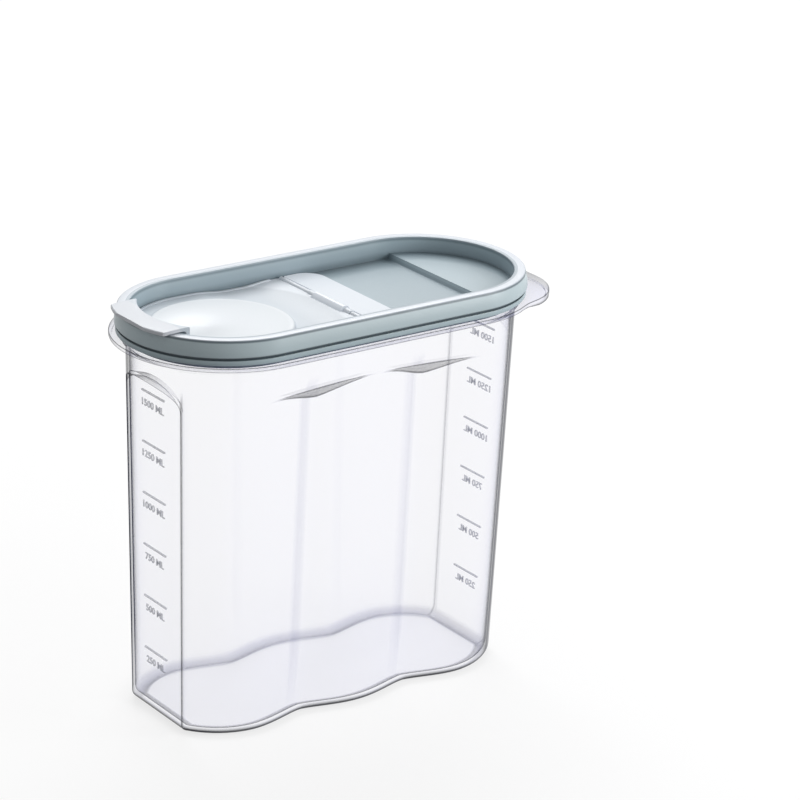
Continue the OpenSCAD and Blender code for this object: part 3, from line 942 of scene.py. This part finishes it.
            round_end = self.plan.middle + math.sqrt(radius**2 - side**2)
            far = blend(self.panel_x(z, ring.skin) - inset, round_end, out)
            return Vector((far, math.copysign(side, y), z)), *weights
        angle = math.radians(blend(math.degrees(math.asin(half / radius)), 90, across))
        far = self.plan.middle + radius * math.cos(angle)
        side = radius * math.sin(angle) - self.flute_inset(far, z, ring.skin)
        return Vector((far, math.copysign(side, y), z)), *weights

    def corner_weight(self, ring: BodyRing, turn: float) -> float:
        """How far a point lies in the thick corner beside an end panel, which gets painted shade.

        Args:
            ring: Ring that the point is on.
            turn: Its angle in degrees from the long axis, round the centre of the end.

        Returns:
            The weight, from 0 to 1.
        """
        if ring.skin or ring.kind is Ring.LEVEL or turn < self.panel_turn - SLACK:
            return 0.0
        return min(1.0, max(0.0, (self.corner_end - turn) / self.corner_fade))

    def side_x(self, x: float) -> float:
        """Moves an even column of a straight side so that one column runs down the bottom of each flute.

        Args:
            x: Its even place along the length.

        Returns:
            Its place.
        """
        half, bottom = self.plan.middle / 2, self.flute_width / 2
        if abs(x) <= half:
            return x * bottom / half
        return math.copysign(blend(bottom, self.plan.middle, abs(x) / half - 1), x)

    def place_side(self, ring: BodyRing, x: float, y: float) -> tuple[Vector, float]:
        """Moves a point of a straight side onto the body.

        Args:
            ring: Ring that the point is on.
            x: Its place along the length.
            y: Its plain place across.

        Returns:
            The place and the weight of the painted edge line.
        """
        x = self.side_x(x)
        ledge = max(self.least_ledge, self.flute(x) * self.flute_ledge / self.flute_depth)
        z = self.shape_height(ring, self.flute_edge(x), ledge)
        inset = self.foot_inset(ring)
        side = self.end_radius(z, ring.skin) - inset - self.flute_inset(x, z, ring.skin)
        stands_out = min(1.0, self.flute(x) / self.ledge_line_depth)
        flank = self.flank_weight(ring, x, y)
        return Vector((x, math.copysign(side, y), z)), max(flank, self.shade_line_weight(ring, stands_out, 0.0))

    def flank_weight(self, ring: BodyRing, x: float, y: float) -> float:
        """How strongly the painted soft line of shade down the steeper flank of a flute shows at a point.

        Args:
            ring: Ring that the point is on.
            x: Its place along the length.
            y: Its place across.

        Returns:
            The weight, from 0 to 1.
        """
        if ring.skin or ring.kind not in (Ring.LOWER, Ring.LEDGE):
            return 0.0
        along = x if y < 0 else -x
        from_line = min(abs(along - at) for at in self.flank_places)
        return self.flank_line * max(0.0, 1 - from_line / self.flank_width)

    def tab_radius(self, x: float, y: float) -> float:
        """Distance from the centre of the end at +x to the edge of the lift tab.

        Args:
            x: Place along the length, from that centre.
            y: Place across.

        Returns:
            The distance in the direction of the point, with the inset that the point has in the flange.
        """
        radius = math.hypot(x, y)
        inset = self.flange_radius - radius
        turn = math.atan2(abs(y), x)
        reach = self.tab_reach - self.plan.middle
        run = reach - self.tab_corner
        if (reach - inset) * math.tan(turn) <= self.tab_side:
            return (reach - inset) / math.cos(turn)
        ahead = math.cos(turn) * run + math.sin(turn) * self.tab_side
        aside = math.cos(turn) * self.tab_side - math.sin(turn) * run
        tab = ahead + math.sqrt(max(0.0, (self.tab_corner - inset) ** 2 - aside**2))
        return max(radius, tab) + max(0.0, self.tab_blend - abs(tab - radius)) ** 2 / (4 * self.tab_blend)

    def stretch_to_tab(self, vert: bmesh.types.BMVert) -> None:
        """Carries a point of the flange out to the edge of the lift tab, and down to its skirt.

        Args:
            vert: Point of the rim.
        """
        x, y, z = vert.co
        x -= self.plan.middle
        radius = math.hypot(x, y)
        if x <= SLACK or radius <= self.flange_radius - self.tab_from:
            return
        reach = self.tab_radius(x, y)
        vert.co.x = self.plan.middle + x * reach / radius
        vert.co.y = y * reach / radius
        if z < self.flange_height - SLACK:
            vert.co.z -= (self.tab_skirt - self.bead) * min(1.0, (reach - radius) / self.tab_blend)

    def start_point(self, ring: BodyRing) -> Point:
        """Returns the radius and height that a ring is swept at, before its points go onto the body."""
        height = self.shape_height(ring, self.start_top, self.start_ledge)
        return self.end_radius(height, ring.skin), height

    def build_shell(self, finish: bpy.types.Material) -> bpy.types.Object:
        """Builds the one moulding.

        Args:
            finish: Clear plastic.

        Returns:
            The piece.
        """
        rings, rim = self.rings(), self.rim_points()
        split = next(i for i, ring in enumerate(rings) if ring.skin)
        start = [self.start_point(ring) for ring in rings]
        draft = Draft()
        self.plan.sweep(draft, [*start[:split], *rim, *start[split:]])
        levels: list[BodyRing | None] = [*rings[:split], *[None] * len(rim), *rings[split:]]
        bm = draft.bm
        level = bm.verts.layers.int[LEVEL_LAYER]
        # Layers for the painted lines of shade and the painted corner shade, which stand in for refraction.
        fold = bm.verts.layers.float.new(SHADE_LINE_LAYER)
        corner = bm.verts.layers.float.new(CORNER_LAYER)
        for vert in bm.verts:
            ring = levels[vert[level]]
            x, y, _ = vert.co
            if ring is None:
                self.stretch_to_tab(vert)
                vert[fold] = self.rim_lines[vert[level] - split]
            elif abs(x) > self.plan.middle + SLACK:
                place, vert[fold], vert[corner] = self.place_end(ring, abs(x), y)
                vert.co = (math.copysign(place.x, x), place.y, place.z)
            else:
                vert.co, vert[fold] = self.place_side(ring, x, y)
        self.close_floors(draft)
        return draft.finish("container_shell", finish, self.crease)

    def close_floors(self, draft: Draft) -> None:
        """Closes the two floors of the body, with a narrow band round each that ends its painted edge line.

        Args:
            draft: Mesh whose open loops are the floors.
        """
        bm = draft.bm
        open_edges = [edge for edge in bm.edges if edge.is_boundary]
        floors = bmesh.ops.holes_fill(bm, edges=open_edges, sides=0)["faces"]
        bmesh.ops.inset_individual(bm, faces=floors, thickness=self.floor_band)
        fold = bm.verts.layers.float[SHADE_LINE_LAYER]
        for vert in {vert for face in floors for vert in face.verts}:
            vert[fold] = 0.0
        bmesh.ops.recalc_face_normals(bm, faces=bm.faces)


class PanelSide(Enum):
    """End of the container that a panel is on."""

    POUR = -1
    TAB = 1


@dataclass
class VolumeMarks:
    """Raised graduation bars and numbers on both end panels.

    The swell of the text is a share of its type size and its lift a share of the relief.
    """

    container: Container
    count: int = 6
    first: float = 29.2
    step: float = 24.0
    step_loss: float = 0.33
    length: float = 17.0
    height: float = 0.8
    relief: float = 0.4
    bar_round: float = 0.16
    unit: int = 250
    text_height: float = 3.1
    text_width: float = 16.4
    text_letters: int = 7
    text_drop: float = 4.95
    text_swell: float = 0.012
    text_lift: float = 0.4

    def mark_height(self, number: int) -> float:
        """Height of a mark, counted from 0."""
        return self.first + number * self.step - self.step_loss * number * (number - 1) / 2

    def panel_frame(self, side: PanelSide, height: float) -> Matrix:
        """Frame on a panel, with x to the reader's right, y up the panel and z out of it.

        Args:
            side: End that the panel is on.
            height: Height on the panel.

        Returns:
            The frame.
        """
        lean = math.radians(self.container.panel_draft)
        out = Vector((side.value * math.cos(lean), 0, -math.sin(lean)))
        right = Vector((0, side.value, 0))
        up = out.cross(right)
        frame = Matrix((right, up, out)).transposed().to_4x4()
        frame.translation = (side.value * self.container.panel_x(height, 0), 0, height)
        return frame

    def add_bar(self, draft: Draft, frame: Matrix) -> None:
        """Adds one bar with rounded edges.

        Args:
            draft: Mesh to add to.
            frame: Frame on the panel.
        """
        sizes = Matrix.Diagonal((self.length, self.height, 2 * self.relief, 1))
        made = bmesh.ops.create_cube(draft.bm, size=1.0, matrix=frame @ sizes)["verts"]
        edges = {edge for vert in made for edge in vert.link_edges}
        rounding = {"offset": self.bar_round, "segments": 2, "profile": 0.5, "affect": "EDGES"}
        bmesh.ops.bevel(draft.bm, geom=list(edges), material=-1, **rounding)

    def add_number(self, draft: Draft, frame: Matrix, text: str, width: float) -> None:
        """Adds one line of raised figures.

        Args:
            draft: Mesh to add to.
            frame: Frame at the middle of the line.
            text: Figures and unit.
            width: Width of the line.
        """
        curve = bpy.data.curves.new("figures", "FONT")
        curve.body = text
        curve.align_x = "CENTER"
        curve.align_y = "CENTER"
        curve.extrude = self.relief / 2
        curve.offset = self.text_swell
        curve.resolution_u = 3
        holder = bpy.data.objects.new("figures", curve)
        mesh = bpy.data.meshes.new_from_object(holder)
        bpy.data.objects.remove(holder)
        xs = [vert.co.x for vert in mesh.vertices]
        ys = [vert.co.y for vert in mesh.vertices]
        wide, high = max(xs) - min(xs), max(ys) - min(ys)
        middle = ((max(xs) + min(xs)) / 2, (max(ys) + min(ys)) / 2)
        scale = Matrix.Diagonal((width / wide, self.text_height / high, 1, 1))
        centre = Matrix.Translation((-middle[0], -middle[1], self.text_lift * self.relief))
        mesh.transform(frame @ scale @ centre)
        draft.bm.from_mesh(mesh)
        bpy.data.meshes.remove(mesh)

    def build(self, finish: bpy.types.Material) -> bpy.types.Object:
        """Builds all marks as one piece.

        Args:
            finish: Frosted plastic.

        Returns:
            The piece.
        """
        draft = Draft()
        for side in PanelSide:
            for number in range(self.count):
                height = self.mark_height(number)
                self.add_bar(draft, self.panel_frame(side, height))
                text = f"{(number + 1) * self.unit} ML"
                width = self.text_width * len(text) / self.text_letters
                self.add_number(draft, self.panel_frame(side, height - self.text_drop), text, width)
        return draft.finish("volume_marks", finish)


@dataclass
class CadCopy:
    """Smooth-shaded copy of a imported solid."""

    node: str
    name: str
    body: Body
    slot: Slot
    crease: float = 28.0
    merge_distance: float = 0.0005

    def build(self, frame: dict, finish: bpy.types.Material) -> bpy.types.Object:
        """Copies the solid, merges its corners and shades it.

        Args:
            finish: Material.

        Returns:
            The piece.
        """
        source = frame["nodes"][self.node]
        draft = Draft()
        draft.bm.from_mesh(source.data)
        bmesh.ops.scale(draft.bm, vec=[1 / MM] * 3, verts=draft.bm.verts)
        bmesh.ops.remove_doubles(draft.bm, verts=draft.bm.verts, dist=self.merge_distance)
        piece = draft.finish(self.name, finish, self.crease)
        dress(piece, self.body, self.node)
        return piece


@dataclass(frozen=True)
class Lamp:
    """Square lamp that faces the object, with its power in watts."""

    name: str
    place: Coords
    side: float
    power: float
    aim: Coords = (0.0, 0.0, 120.0)

    def build(self) -> None:
        """Adds the lamp."""
        data = bpy.data.lights.new(self.name, "AREA")
        data.shape = "SQUARE"
        data.size = self.side * MM
        data.energy = self.power
        turn = (Vector(self.aim) - Vector(self.place)).to_track_quat("-Z", "Y")
        lamp = add_object(self.name, data)
        lamp.matrix_world = Matrix.Translation(Vector(self.place) * MM) @ turn.to_matrix().to_4x4()


@dataclass
class Studio:
    """Camera, lamps, white surroundings and floor."""

    place: Coords = (-750.57, -1048.23, 620.30)
    right: Coords = (0.80574, -0.59115, 0.03666)
    up: Coords = (0.18340, 0.30787, 0.93359)
    forward: Coords = (0.56317, 0.74550, -0.35648)
    lens: float = 146.54
    sensor: float = 36.0
    near: float = 50.0
    lamps: Sequence[Lamp] = (
        Lamp("key_lamp", (450.0, 750.0, 1100.0), side=800.0, power=12.0),
        Lamp("side_lamp", (750.0, -750.0, 450.0), side=500.0, power=8.0),
    )
    soft_light: float = 0.4
    floor_albedo: float = 0.22
    floor_glows: Stops = (
        (600.0, (226, 226, 226)), (1400.0, (239, 239, 239)), (3000.0, (244, 244, 244)),
    )
    floor_half: float = 20000.0
    floor_drop: float = 0.2
    clear_layers: int = 40

    def camera(self) -> None:
        """Places the camera."""
        data = bpy.data.cameras.new("camera")
        data.lens = self.lens
        data.sensor_width = self.sensor
        data.clip_start = self.near * MM
        camera = add_object("camera", data)
        axes = Matrix((self.right, self.up, [-v for v in self.forward])).transposed()
        camera.matrix_world = Matrix.Translation(Vector(self.place) * MM) @ axes.to_4x4()
        bpy.context.scene.camera = camera

    def surroundings(self) -> None:
        """Sets soft even light, with white seen behind the object."""
        world = bpy.data.worlds.new("surroundings")
        bpy.context.scene.world = world
        graph = Graph(world)
        strength = graph.seen_directly() * (1.0 - self.soft_light) + self.soft_light
        shader = graph.out("ShaderNodeBackground", sockets={"Color": (1, 1, 1, 1), "Strength": strength})
        graph.node("ShaderNodeOutputWorld", sockets={"Surface": shader})

    def floor(self) -> None:
        """Adds the floor, with a glow where it is seen that evens out the lamps by distance."""
        graph = Graph(bpy.data.materials.new("floor_white"))
        lit = graph.out("ShaderNodeBsdfDiffuse", sockets={"Color": (*[self.floor_albedo] * 3, 1)})
        x, y, _ = graph.coordinates()
        glow = graph.ramp(graph.reach(x, y), self.floor_glows)
        sockets = {"Color": glow, "Strength": graph.seen_directly()}
        added = graph.out("ShaderNodeEmission", sockets=sockets)
        material = graph.finish(graph.out("ShaderNodeAddShader", sockets={0: lit, 1: added}))
        draft = Draft()
        below = Matrix.Translation((0, 0, -self.floor_drop))
        bmesh.ops.create_grid(draft.bm, x_segments=1, y_segments=1, size=self.floor_half, matrix=below)
        floor = draft.finish("floor", material)

    def build(self) -> None:
        """Sets the stage."""
        self.camera()
        self.surroundings()
        for lamp in self.lamps:
            lamp.build()
        self.floor()
        bpy.context.scene.view_settings.view_transform = "Standard"
        bpy.context.scene.cycles.transparent_max_bounces = self.clear_layers


@dataclass
class Finishes:
    """All materials of the object."""

    clear: ClearFinish = ClearFinish("clear_plastic")
    lid: LidFinish = LidFinish("lid_plastic", (170, 185, 193), (228, 232, 235), roughness=0.36)
    flap: FlapFinish = FlapFinish(
        "flap_plastic", (214, 219, 224), (236, 238, 241), roughness=0.45, grain_height=0.00001, coat=0.2
    )
    # The clip plate gets a painted glow that lifts its shaded sides, with its base colour darkened to make
    # up for it.
    white: MouldedFinish = MouldedFinish(
        "white_plastic",
        (156, 161, 166),
        (150, 154, 160),
        roughness=0.3,
        grain_height=0.00001,
        coat=0.2,
        painted_glow=1.0,
    )
    seal: MouldedFinish = MouldedFinish("seal_rubber", (216, 216, 212), (206, 206, 202), roughness=0.6)
    frosted: MouldedFinish = MouldedFinish(
        "frosted_marks", (176, 180, 192), (166, 171, 184), roughness=0.5, see_through=0.64
    )


def main(frame: dict) -> None:
    """Builds the pieces and the stage.
    """
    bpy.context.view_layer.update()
    finishes = Finishes()
    container = Container()
    clear = finishes.clear.build()
    dress(container.build_shell(clear), Body.CONTAINER, "container")
    dress(VolumeMarks(container).build(finishes.frosted.build()), Body.CONTAINER)
    CadCopy("lid", "lid_shell", Body.LID, Slot.LID).build(frame, finishes.lid.build())
    CadCopy("lid_seal", "seal_ring", Body.LID, Slot.SEAL).build(frame, finishes.seal.build())
    CadCopy("hinge_plate", "hinge_clip_plate", Body.LID, Slot.WHITE).build(frame, finishes.white.build())
    CadCopy("flap", "flap_shell", Body.FLAP, Slot.WHITE).build(frame, finishes.flap.build())
    Studio().build()


if __name__ == "__main__":
    logging.basicConfig(level=logging.INFO, format="%(name)s: %(message)s")
    main(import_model())
